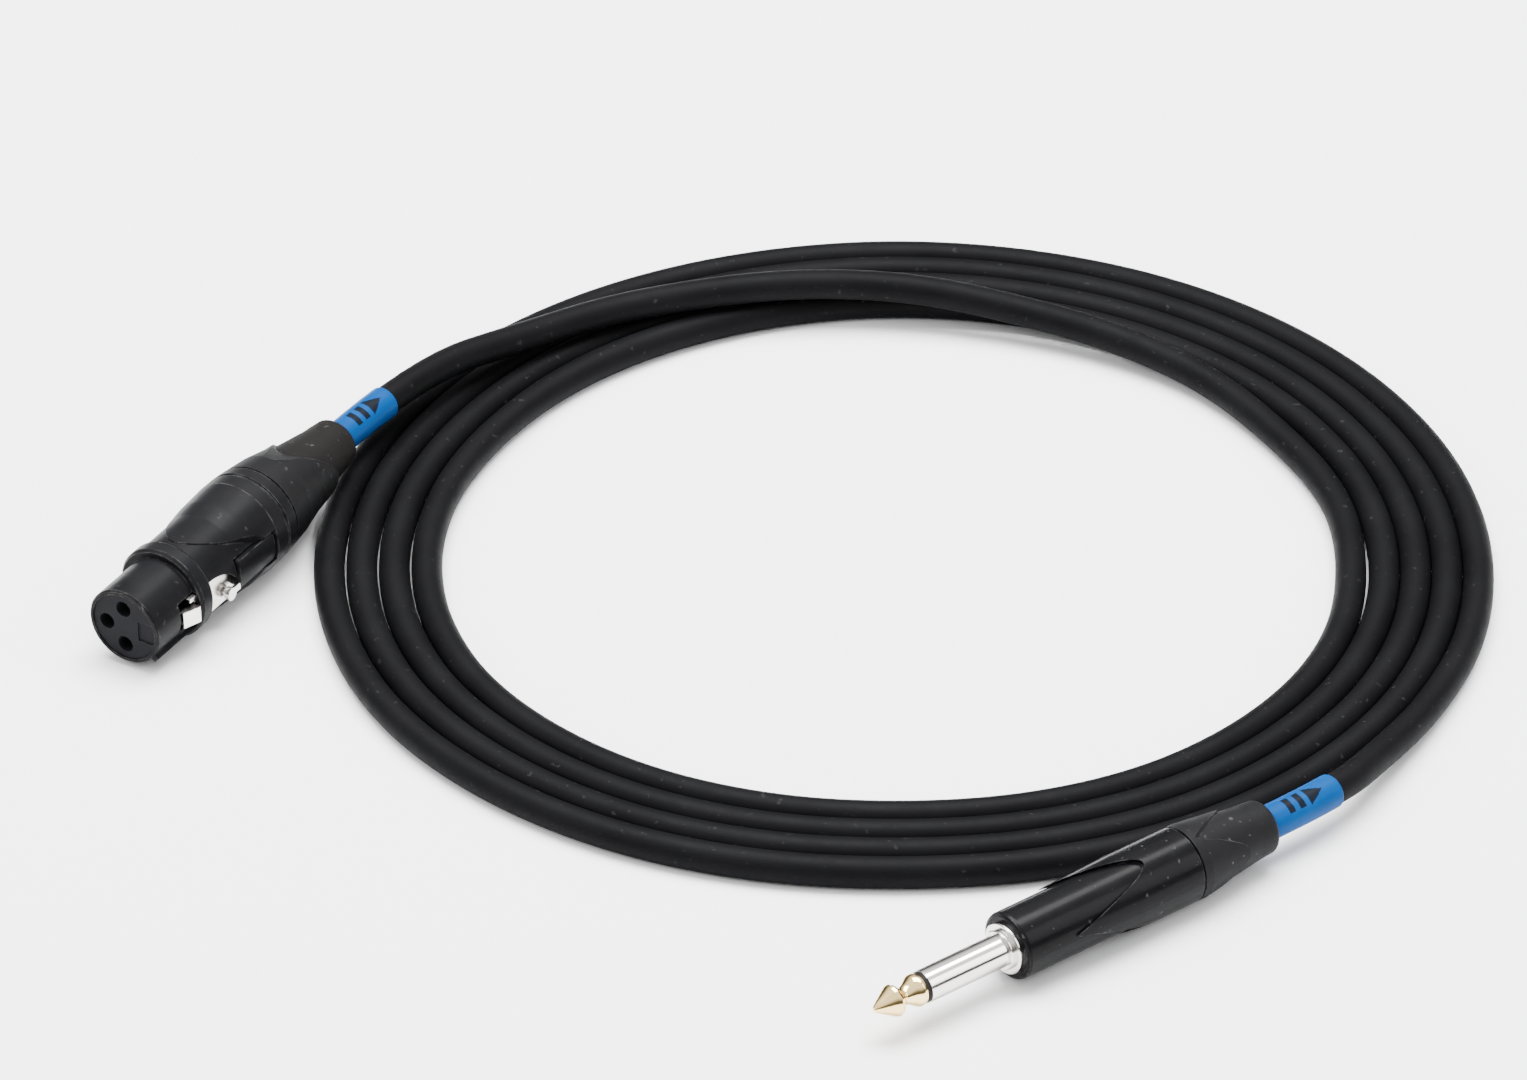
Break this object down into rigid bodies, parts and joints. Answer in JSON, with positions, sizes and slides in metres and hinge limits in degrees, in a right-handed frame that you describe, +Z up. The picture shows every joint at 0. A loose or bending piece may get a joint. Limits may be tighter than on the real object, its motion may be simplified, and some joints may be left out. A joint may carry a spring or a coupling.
{
  "type": "coiled microphone cable",
  "caption": "Coiled audio cable with a latching female XLR connector at one end and a 6.35 mm two-pole jack plug with a screw-on strain relief at the other.",
  "frame": {"origin": "on the surface the coil lies on, below the middle of the box around the two connectors, which is inside the coil's hole", "axes": "+X to the right of the coil as seen from its front, +Y away from the front, +Z up; the jack plug lies at the front, the XLR at the left"},
  "size_m": [0.2676, 0.2694, 0.0208],
  "materials": {
    "black_shell": "satin black coating",
    "black_insert": "matte moulded",
    "plated_contact": "gold plated",
    "nickel": "bright nickel",
    "steel": "plain steel",
    "black_plastic": "moulded",
    "black_rubber": "matte",
    "cable_jacket": "matte flexible PVC",
    "core_insulation": "plain",
    "blue_sleeve": "shrunk tube with a black mark",
    "gold": "polished gold plate",
    "black_gloss": "gloss black"
  },
  "bodies": {
    "cable": {"xlr_housing": "black_shell", "xlr_insert": "black_insert", "xlr_contact_ground": "plated_contact", "xlr_contact_hot": "plated_contact", "xlr_contact_cold": "plated_contact", "xlr_shell_tab": "nickel", "xlr_latch_pin": "steel", "xlr_coding_ring": "black_plastic", "xlr_rear_cover": "black_shell", "xlr_bushing": "black_plastic", "xlr_boot": "black_rubber", "xlr_chuck": "black_plastic", "xlr_cable_end": "cable_jacket", "xlr_core_hot": "core_insulation", "xlr_core_shield": "core_insulation", "xlr_label_sleeve": "blue_sleeve", "jack_tip": "gold", "jack_tip_insulator": "black_insert", "jack_sleeve": "nickel", "jack_collar": "nickel", "jack_housing": "black_gloss", "jack_rear_insulator": "black_insert", "jack_tip_terminal": "plated_contact", "jack_sleeve_clamp": "nickel", "jack_cable_end": "cable_jacket", "jack_core_tip": "core_insulation", "jack_core_shield": "core_insulation", "jack_label_sleeve": "blue_sleeve", "cable_coil": "cable_jacket", "cable_xlr_lead": "cable_jacket", "cable_jack_lead": "cable_jacket"},
    "xlr_latch_arm": {"xlr_latch": "nickel", "xlr_push_button": "black_plastic", "xlr_latch_spring": "steel"},
    "jack_collet": {"jack_chuck": "black_plastic"},
    "jack_gland": {"jack_boot": "black_rubber", "jack_bushing": "black_plastic"}
  },
  "joints": [
    {"name": "xlr_latch_press", "type": "hinge", "parent": "cable", "child": "xlr_latch_arm", "pos_m": [-0.08157, 0.05349, 0.01042], "axis": [0.0212, 0.0341, -0.9992], "range_deg": [0, 4], "stiffness_Nm_per_rad": 0.4, "springref_deg": -1.15},
    {"name": "jack_collet_travel", "type": "slide", "parent": "cable", "child": "jack_collet", "axis": [0.7788, 0.6273, 0], "range_m": [0, 0.003]},
    {"name": "jack_gland_turn", "type": "hinge", "parent": "jack_collet", "child": "jack_gland", "pos_m": [0.09956, -0.04111, 0.0074], "axis": [0.7788, 0.6273, 0], "range_deg": [0, 724]}
  ],
  "couplings": [
    {"joint": "jack_gland_turn", "follows": "jack_collet_travel", "rad_per_m": 4188.8}
  ]
}
